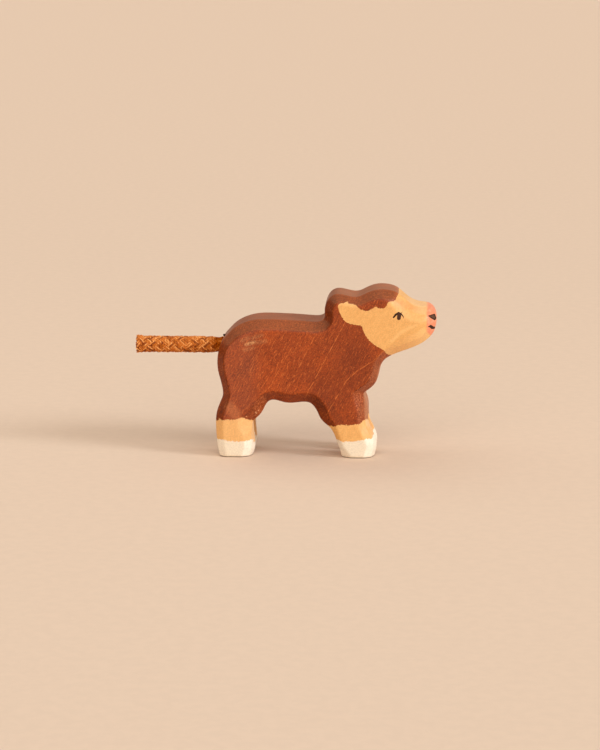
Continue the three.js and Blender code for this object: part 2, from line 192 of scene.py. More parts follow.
def finishMaterial(tree, tint, rough, sheen, height=None, bump=(0.0, 0.0)):
    # bump is a strength, and a distance in millimetres
    sockets = {"Base Color": tint, "Roughness": rough, "Specular IOR Level": sheen}
    if height is not None:
        strength, distance = bump
        relief = {"Height": height, "Strength": strength, "Distance": distance * mm}
        sockets["Normal"] = addNode(tree, "ShaderNodeBump", relief).outputs["Normal"]
    shader = addNode(tree, "ShaderNodeBsdfPrincipled", sockets)
    output = addNode(tree, "ShaderNodeOutputMaterial")
    tree.links.new(shader.outputs["BSDF"], output.inputs["Surface"])


# tail: a braided cord, glued into the rump and cut off; its place comes from the frame
tail = {
    "strands": 6,  # each way round
    "yarns": 6,  # in a strand
    "yarnRadius": 0.21,
    "layLength": 19.0,  # one turn of a strand
    "weaveDepth": 0.28,
    "strandShift": 0.18,  # how far a strand lies off its place, in strand widths
    "looseness": 0.42,  # how far a yarn strays
    "wander": 0.42,  # how often it does so in a millimetre
    "strayTurn": 0.3,  # radians round the cord for each millimetre of stray
    "lumps": 0.45,  # how uneven the whole cord is
    "lumpRate": 0.33,  # lumps in a millimetre
    "frayLength": 3.2,
    "fraySpread": 0.4,
    "raggedEnd": 0.6,
    "outerCut": 0.5,  # the outermost yarns end this much sooner
    "pinch": 0.35,  # narrower where it enters the wood
    "coreYarns": 50,
    "coreGap": 2.6,  # room left round the core beyond the weave, in yarn radii
    "steps": 118,
    "yarnSides": 6,
    "seed": 11,
    "light": "fab064",
    "mid": "c86c1c",
    "dark": "7a3200",
    "root": "e6d0ac",  # glue darkens the yarn where it enters the wood
    "soakLength": 4.5,
    "twist": 7.0,  # of a yarn's plies, in radians for each millimetre
    "fibreScale": 2.4,
    "patchScale": 0.45,
    "shadeShares": {"fibre": 0.65, "patch": 0.35, "yarn": 0.4, "ply": 0.06},
    "darkToMid": (0.26, 0.48),
    "midToLight": (0.52, 0.76),
    "wax": 0.24,
    "roughness": 0.55,
    "bump": (0.8, 0.08),
}


def tailPlaces():
    # the cord's axis is level; the mouth of its hole is one gap behind the end of the root
    rootLow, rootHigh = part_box("tail_root")
    bendLow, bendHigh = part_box("tail_flex")
    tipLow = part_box("tail_end")[0]
    return {
        "height": (rootLow.z + rootHigh.z) / 2,
        "radius": (rootHigh.z - rootLow.z) / 2,
        "start": rootHigh.x,
        "mouth": 2 * rootLow.x - bendHigh.x,
        "bendStart": bendHigh.x,
        "bendEnd": bendLow.x,
        "end": tipLow.x,
    }


def braidInputs(look, length, mouth, radius):
    # the braid tree's named inputs; lengths are in metres
    return {
        "Length": length,
        "Mouth": mouth,
        "Cord Radius": radius,
        "Strands": look["strands"],
        "Yarns": look["yarns"],
        "Yarn Radius": look["yarnRadius"] * mm,
        "Yarn Sides": look["yarnSides"],
        "Lay Length": look["layLength"] * mm,
        "Weave Depth": look["weaveDepth"] * mm,
        "Strand Shift": look["strandShift"],
        "Looseness": look["looseness"] * mm,
        "Wander": look["wander"] / mm,
        "Stray Turn": look["strayTurn"] / mm,
        "Lumps": look["lumps"] * mm,
        "Lump Rate": look["lumpRate"] / mm,
        "Fray Length": look["frayLength"] * mm,
        "Fray Spread": look["fraySpread"] * mm,
        "Ragged End": look["raggedEnd"] * mm,
        "Outer Cut": look["outerCut"] * mm,
        "Pinch": look["pinch"] * mm,
        "Core Yarns": look["coreYarns"],
        "Core Gap": look["coreGap"],
        "Steps": look["steps"],
        "Seed": look["seed"],
    }


def geometryTree(name, inputs):
    tree = bpy.data.node_groups.new(name, "GeometryNodeTree")
    tree.interface.new_socket(name="Geometry", in_out="OUTPUT", socket_type="NodeSocketGeometry")
    for label, value in inputs.items():
        kind = "NodeSocketInt" if isinstance(value, int) else "NodeSocketFloat"
        tree.interface.new_socket(name=label, in_out="INPUT", socket_type=kind)
    return tree


def setInputs(modifier, tree, values):
    for item in tree.interface.items_tree:
        if item.in_out == "INPUT":
            modifier[item.identifier] = values[item.name]


def storeAttribute(tree, geometry, name, value, kind="FLOAT"):
    sockets = {"Geometry": geometry, "Name": name, "Value": value}
    node = addNode(tree, "GeometryNodeStoreNamedAttribute", sockets, data_type=kind, domain="POINT")
    return node.outputs["Geometry"]


def alongCurve(tree, output):
    return addNode(tree, "GeometryNodeSplineParameter").outputs[output]


def yarnLines(tree, given, count):
    # straight lines along the cord, one for each yarn, with each line's number
    end = joinVector(tree, given["Length"], 0.0, 0.0)
    line = addNode(tree, "GeometryNodeCurvePrimitiveLine", {"End": end})
    sockets = {"Curve": line.outputs["Curve"], "Count": given["Steps"]}
    fine = addNode(tree, "GeometryNodeResampleCurve", sockets)
    sockets = {"Geometry": fine.outputs["Curve"], "Amount": count}
    copies = addNode(tree, "GeometryNodeDuplicateElements", sockets, domain="SPLINE")
    return copies.outputs["Geometry"], copies.outputs["Duplicate Index"]


def yarnChance(tree, given, number, low, high, shift):
    sockets = {2: low, 3: high, "ID": number, "Seed": plus(tree, given["Seed"], shift)}
    return addNode(tree, "FunctionNodeRandomValue", sockets, data_type="FLOAT").outputs[1]


def yarnStray(tree, given, number, run, shift):
    # a slow wander of each yarn about its place
    yarnApart = 3.7  # so that no two yarns wander alike
    place = joinVector(tree, times(tree, run, given["Wander"]), times(tree, number, yarnApart), float(shift))
    return times(tree, minus(tree, grainNoise(tree, place, 1.0), 0.5), given["Looseness"])


def sweepYarn(tree, given, curves, number, shift):
    # a thin round yarn along each line, with its tone and its lay kept as attributes
    curves = storeAttribute(tree, curves, "yarnTone", yarnChance(tree, given, number, 0.0, 1.0, shift))
    sockets = {"Resolution": given["Yarn Sides"], "Radius": given["Yarn Radius"]}
    circle = addNode(tree, "GeometryNodeCurvePrimitiveCircle", sockets)
    turn = times(tree, alongCurve(tree, "Factor"), math.tau)
    lay = joinVector(tree, calc(tree, "COSINE", turn), calc(tree, "SINE", turn), 0.0)
    ring = storeAttribute(tree, circle.outputs["Curve"], "yarnTurn", lay, "FLOAT_VECTOR")
    sockets = {"Curve": curves, "Profile Curve": ring, "Fill Caps": True}
    return addNode(tree, "GeometryNodeCurveToMesh", sockets).outputs["Mesh"]


def placeYarns(tree, given, curves, number, run, radius, angle, stray, shift):
    # an uneven cord with a spread, ragged end and a pinch at the wood
    sine, cosine = calc(tree, "SINE", angle), calc(tree, "COSINE", angle)
    fray = fade(tree, minus(tree, given["Length"], run), 0.0, given["Fray Length"], 1.0, 0.0)
    spread = times(tree, given["Fray Spread"], yarnChance(tree, given, number, 0.2, 1.2, shift), fray)
    fromMouth = calc(tree, "ABSOLUTE", minus(tree, run, given["Mouth"]))
    pinch = times(tree, given["Pinch"], fade(tree, fromMouth, 0.0, given["Fray Length"], 1.0, 0.0))
    around = joinVector(tree, times(tree, run, given["Lump Rate"]), sine, cosine)
    lump = times(tree, minus(tree, grainNoise(tree, around, 1.0), 0.5), given["Lumps"])
    change = plus(tree, lump, minus(tree, spread, pinch))
    share = over(tree, radius, given["Cord Radius"])
    widened = plus(tree, radius, stray, times(tree, share, change))
    longest = times(tree, given["Ragged End"], -1.0)
    outer = times(tree, calc(tree, "POWER", share, 2.0), given["Outer Cut"])
    cutBack = minus(tree, yarnChance(tree, given, number, longest, 0.0, shift + 40), outer)
    place = joinVector(tree, plus(tree, run, times(tree, fray, cutBack)),
                       times(tree, widened, sine), times(tree, widened, cosine))
    curves = storeAttribute(tree, curves, "yarnRun", run)
    moved = addNode(tree, "GeometryNodeSetPosition", {"Geometry": curves, "Position": place})
    return sweepYarn(tree, given, moved.outputs["Geometry"], number, shift)


def braidLayer(tree, given, way):
    # the strands that turn one way; they pass over and under those that turn the other way
    curves, number = yarnLines(tree, given, times(tree, given["Strands"], given["Yarns"]))
    strand = calc(tree, "FLOOR", over(tree, number, given["Yarns"]))
    inStrand = calc(tree, "MODULO", number, given["Yarns"])
    slot = over(tree, math.tau, given["Strands"])
    furthest = given["Strand Shift"]
    shifted = yarnChance(tree, given, strand, times(tree, furthest, -1.0), furthest, 30 + way)
    across = plus(tree, over(tree, plus(tree, inStrand, 0.5), given["Yarns"]), shifted)
    startAngle = times(tree, plus(tree, strand, across), slot)
    run = alongCurve(tree, "Length")
    turned = times(tree, over(tree, run, given["Lay Length"]), way * math.tau)
    stray = yarnStray(tree, given, number, run, 10 + way)
    angle = plus(tree, startAngle, turned, times(tree, stray, given["Stray Turn"]))
    halfStrands = over(tree, given["Strands"], 2.0)
    middle = over(tree, slot, 2.0)
    own = times(tree, minus(tree, angle, turned, middle), halfStrands)
    other = times(tree, minus(tree, plus(tree, angle, turned), middle), halfStrands)
    weave = times(tree, calc(tree, "COSINE", own), calc(tree, "COSINE", other))
    lift = times(tree, weave, given["Weave Depth"], way)
    inner = plus(tree, given["Weave Depth"], given["Yarn Radius"])
    radius = plus(tree, minus(tree, given["Cord Radius"], inner), lift)
    return placeYarns(tree, given, curves, number, run, radius, angle, stray, 20 + way)


def coreLayer(tree, given):
    # straight yarns that fill the middle, laid out as a sunflower's seeds
    curves, number = yarnLines(tree, given, given["Core Yarns"])
    share = over(tree, plus(tree, number, 0.5), given["Core Yarns"])
    braid = times(tree, given["Weave Depth"], 2.0)
    shell = plus(tree, braid, times(tree, given["Yarn Radius"], given["Core Gap"]))
    radius = times(tree, calc(tree, "SQRT", share), minus(tree, given["Cord Radius"], shell))
    angle = times(tree, number, math.pi * (3 - math.sqrt(5)))
    run = alongCurve(tree, "Length")
    stray = yarnStray(tree, given, number, run, 50)
    return placeYarns(tree, given, curves, number, run, radius, angle, stray, 60)


def braidTree(inputs, material):
    tree = geometryTree("braidedCord", inputs)
    given = addNode(tree, "NodeGroupInput").outputs
    layers = [braidLayer(tree, given, 1), braidLayer(tree, given, -1), coreLayer(tree, given)]
    joined = addNode(tree, "GeometryNodeJoinGeometry")
    for layer in layers:
        tree.links.new(layer, joined.inputs["Geometry"])
    real = addNode(tree, "GeometryNodeRealizeInstances", {"Geometry": joined.outputs["Geometry"]})
    sockets = {"Geometry": real.outputs["Geometry"], "Material": material}
    dressed = addNode(tree, "GeometryNodeSetMaterial", sockets)
    output = addNode(tree, "NodeGroupOutput")
    tree.links.new(dressed.outputs["Geometry"], output.inputs["Geometry"])
    return tree


def cordMaterial(look, mouth):
    # waxed yarn: each yarn has its own tone and a fine twist, darker where the cord enters the wood
    material, tree = newMaterial("waxedCord")
    tone = attributeValue(tree, "yarnTone")
    run = times(tree, attributeValue(tree, "yarnRun"), 1 / mm)
    turn = splitVector(tree, attributeValue(tree, "yarnTurn", "Vector"))
    twist = times(tree, run, look["twist"])
    ply = plus(tree, times(tree, turn["X"], calc(tree, "COSINE", twist)),
               times(tree, turn["Y"], calc(tree, "SINE", twist)))
    yarnApart = 90.0  # so that no two yarns have the same fibres
    place = joinVector(tree, run, times(tree, tone, yarnApart), turn["X"])
    fibre = grainNoise(tree, place, look["fibreScale"], 4.0, 0.6)
    patch = grainNoise(tree, place, look["patchScale"], 1.0)
    shares = look["shadeShares"]
    shade = plus(tree, times(tree, fibre, shares["fibre"]), times(tree, patch, shares["patch"]),
                 times(tree, minus(tree, tone, 0.5), shares["yarn"]), times(tree, ply, shares["ply"]))
    body = mixColour(tree, fade(tree, shade, *look["darkToMid"]), colour(look["dark"]), colour(look["mid"]))
    body = mixColour(tree, fade(tree, shade, *look["midToLight"]), body, colour(look["light"]))
    soaked = fade(tree, run, mouth / mm, mouth / mm + look["soakLength"], 1.0, 0.0)
    body = mixColour(tree, soaked, body, colour(look["root"]), "MULTIPLY")
    wax = times(tree, minus(tree, 1.0, soaked), look["wax"])
    height = plus(tree, times(tree, ply, 0.5), fibre)
    finishMaterial(tree, body, look["roughness"], wax, height, look["bump"])
    return material


def plainMesh(maker, name):
    # the finished shape of an object with modifiers, as a plain mesh
    done = maker.evaluated_get(bpy.context.evaluated_depsgraph_get())
    mesh = bpy.data.meshes.new_from_object(done)
    mesh.name = name
    return mesh


def pointsOf(mesh):
    spots = np.zeros(len(mesh.vertices) * 3)
    mesh.vertices.foreach_get("co", spots)
    return spots.reshape(-1, 3)


def newPiece(name, mesh):
    piece = bpy.data.objects.new(name, mesh)
    scene.collection.objects.link(piece)
    return piece


def makeTail(look):
    at = tailPlaces()
    length = at["start"] - at["end"]
    mouth = at["start"] - at["mouth"]
    inputs = braidInputs(look, length, mouth, at["radius"])
    tree = braidTree(inputs, cordMaterial(look, mouth))
    maker = newPiece("cordMaker", bpy.data.meshes.new("cordMaker"))
    modifier = maker.modifiers.new("braid", "NODES")
    modifier.node_group = tree
    setInputs(modifier, tree, inputs)
    mesh = plainMesh(maker, "tailCord")
    bpy.data.objects.remove(maker)
    spots = pointsOf(mesh)
    placed = np.column_stack([at["start"] - spots[:, 0], -spots[:, 1], at["height"] + spots[:, 2]])
    mesh.vertices.foreach_set("co", placed.ravel())
    mesh.shade_smooth()
    cord = newPiece("tailCord", mesh)

    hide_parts("tail_root", "tail_flex", "tail_end")
    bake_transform(cord)
    print("tail braided:", len(mesh.vertices), "points")


makeTail(tail)


# wood: the plank with softened edges, and the lines that its paints keep to, in millimetres of X and Z
wood = {
    "voxel": 0.4,
    "merge": 0.001,  # points closer than this become one
    "softening": 1,
    "rubbedSpots": [  # rounder than the rest: place, spread and rounds of sanding
        ((24.5, 52.6), 2.8, 12),
        ((16.5, 31.0), 2.6, 14),
        ((13.6, 17.5), 2.4, 14),
    ],
    "handwork": 0.09,  # unevenness left by the knife
    "handworkSize": 7.0,
    "flatBelow": 2.0,  # it dies away below this height, so the soles stay flat
    "faceTop": [(4.2, 53.9), (4.9, 54.6), (6.3, 54.8), (7.2, 55.2), (8.1, 54.6), (9.5, 54.4), (10.7, 53.9),
                (11.8, 52.9), (13.0, 52.4), (14.4, 52.1), (15.5, 52.6), (16.7, 53.3), (17.3, 53.8),
                (18.1, 53.3), (19.3, 53.1), (20.4, 53.3), (21.0, 54.0), (21.4, 55.0), (22.4, 55.5),
                (23.6, 55.5), (24.2, 56.0), (24.7, 57.0), (25.3, 58.0)],
    "faceBeyond": [(25.6, 70.0), (50.0, 70.0), (50.0, 30.0), (22.8, 30.0)],  # closes the patch
    "faceBottom": [(22.6, 36.2), (21.3, 36.7), (20.3, 38.2), (18.7, 39.3), (16.9, 40.3), (14.7, 42.4),
                   (13.2, 44.9), (12.4, 46.8), (10.1, 47.3), (7.6, 48.0), (6.0, 49.3), (4.8, 51.7)],
    "muzzle": [(34.4, 55.4), (34.8, 54.2), (35.05, 53.1), (34.95, 51.6), (34.8, 50.5), (35.0, 49.2),
               (34.9, 47.5), (35.1, 44.8), (36.1, 43.1), (37.1, 41.6)],
    "muzzleBeyond": [(50.0, 42.0), (50.0, 58.0), (34.9, 58.0)],
    "hindSock": [(-42.0, 12.7), (-37.9, 12.8), (-37.1, 13.5), (-35.9, 13.2), (-34.3, 13.4), (-31.5, 13.4),
                 (-29.9, 13.8), (-28.8, 14.2), (-27.6, 13.3), (-26.5, 13.1), (-25.2, 12.7), (-24.7, 12.3),
                 (-22.0, 12.0)],
    "hindHoof": [(-42.0, 6.2), (-37.6, 6.2), (-35.7, 6.3), (-34.3, 5.9), (-31.2, 5.7), (-28.0, 5.7),
                 (-25.7, 6.1), (-25.3, 5.0), (-25.0, 4.7), (-24.7, 4.8), (-24.1, 4.9), (-20.0, 5.0)],
    "foreSock": [(-2.0, 11.4), (2.0, 11.3), (3.3, 11.3), (4.2, 11.8), (5.2, 12.0), (7.7, 11.9), (9.6, 12.0),
                 (11.1, 12.3), (11.6, 12.1), (12.6, 12.8), (13.5, 13.3), (14.3, 13.2), (14.7, 13.0),
                 (15.1, 12.9), (18.0, 12.9)],
    "foreHoof": [(0.0, 6.4), (4.1, 6.4), (4.9, 6.4), (5.6, 6.0), (7.9, 6.1), (9.8, 6.0), (11.7, 6.4),
                 (13.2, 6.6), (13.7, 6.9), (15.2, 6.9), (15.9, 6.7), (16.4, 7.3), (17.0, 8.1),
                 (17.7, 9.0), (20.0, 9.3)],
    "legsBelow": -10.0,  # where the legs' patches close, under the floor
}


def bendLine(corners, steps=6):
    # a smooth line through given corners
    pts = np.array([corners[0], *corners, corners[-1]], float)
    share = np.linspace(0, 1, steps, endpoint=False)[:, None]
    runs = []
    for a, b, c, d in zip(pts, pts[1:], pts[2:], pts[3:]):
        runs.append(0.5 * (2 * b + (c - a) * share + (2 * a - 5 * b + 4 * c - d) * share ** 2
                           + (3 * b - a - 3 * c + d) * share ** 3))
    return np.vstack([*runs, pts[-1:]])


def insideDistance(spots, loop):
    # distance to a closed line, positive inside it
    nearest = np.full(len(spots), np.inf)
    inside = np.zeros(len(spots), bool)
    for start, end in zip(loop, np.roll(loop, -1, axis=0)):
        side = end - start
        reach = spots - start
        share = np.clip(reach @ side / max(side @ side, 1e-12), 0, 1)
        nearest = np.minimum(nearest, np.linalg.norm(reach - share[:, None] * side, axis=1))
        if start[1] != end[1]:
            crosses = (start[1] > spots[:, 1]) != (end[1] > spots[:, 1])
            at = start[0] + (spots[:, 1] - start[1]) / (end[1] - start[1]) * side[0]
            inside ^= crosses & (spots[:, 0] < at)
    return np.where(inside, nearest, -nearest)


def paintEdges(spots, look):
    # for each point of the wood, how far it lies inside each painted patch
    face = np.vstack([bendLine(look["faceTop"]), look["faceBeyond"], bendLine(look["faceBottom"])])
    muzzle = np.vstack([bendLine(look["muzzle"]), look["muzzleBeyond"]])

    def eitherLeg(*lines):
        edges = [bendLine(look[line]) for line in lines]
        below = look["legsBelow"]
        loops = [np.vstack([edge, [(edge[-1][0], below), (edge[0][0], below)]]) for edge in edges]
        return np.maximum(*[insideDistance(spots, loop) for loop in loops])

    return {
        "faceEdge": insideDistance(spots, face),
        "muzzleEdge": insideDistance(spots, muzzle),
        "sockEdge": eitherLeg("hindSock", "foreSock"),
        "hoofEdge": eitherLeg("hindHoof", "foreHoof"),
    }


def addValues(mesh, name, values):
    attribute = mesh.attributes.new(name, "FLOAT", "POINT")
    attribute.data.foreach_set("value", np.asarray(values, np.float32))


def rubRound(mesh, middle, spread, rounds):
    # a spot that hands have rubbed rounder than the rest
    spots = pointsOf(mesh) / mm
    away = np.linalg.norm(spots[:, [0, 2]] - np.array(middle), axis=1)
    weight = np.exp(-0.5 * (away / spread) ** 2)
    pairs = np.zeros(len(mesh.edges) * 2, np.int32)
    mesh.edges.foreach_get("vertices", pairs)
    pairs = pairs.reshape(-1, 2)
    count = np.bincount(pairs.ravel(), minlength=len(spots))[:, None]
    for _ in range(rounds):
        total = np.zeros_like(spots)
        np.add.at(total, pairs[:, 0], spots[pairs[:, 1]])
        np.add.at(total, pairs[:, 1], spots[pairs[:, 0]])
        spots = spots + (total / count - spots) * (0.5 * weight)[:, None]
    mesh.vertices.foreach_set("co", (spots * mm).ravel())
    mesh.update()


def softWoodMesh(look):
    # the sawn and carved plank with its edges sanded soft
    maker = newPiece("woodMaker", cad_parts["wood_body"].data.copy())
    maker.data.materials.clear()
    work = bmesh.new()
    work.from_mesh(maker.data)
    bmesh.ops.remove_doubles(work, verts=work.verts, dist=look["merge"] * mm)
    work.to_mesh(maker.data)
    work.free()
    remesh = maker.modifiers.new("evenSkin", "REMESH")
    remesh.mode = "VOXEL"
    remesh.voxel_size = look["voxel"] * mm
    soften = maker.modifiers.new("sanding", "SMOOTH")
    soften.factor = 0.5
    soften.iterations = look["softening"]
    mesh = plainMesh(maker, "woodBody")
    bpy.data.objects.remove(maker)
    for middle, spread, rounds in look["rubbedSpots"]:
        rubRound(mesh, middle, spread, rounds)
    return mesh


def normalsOf(mesh):
    normals = np.zeros(len(mesh.vertices) * 3)
    mesh.vertex_normals.foreach_get("vector", normals)
    return normals.reshape(-1, 3)


def roughenWood(mesh, look):
    # a little unevenness from the knife
    spots = pointsOf(mesh)
    size = look["handworkSize"] * mm
    bumps = np.array([noise.noise(Vector(s) / size) for s in spots])
    standing = np.clip(spots[:, 2] / (look["flatBelow"] * mm), 0, 1)
    spots = spots + normalsOf(mesh) * (bumps * standing * look["handwork"] * mm)[:, None]
    spots[:, 2] = np.maximum(spots[:, 2], 0)
    mesh.vertices.foreach_set("co", spots.ravel())
    mesh.update()


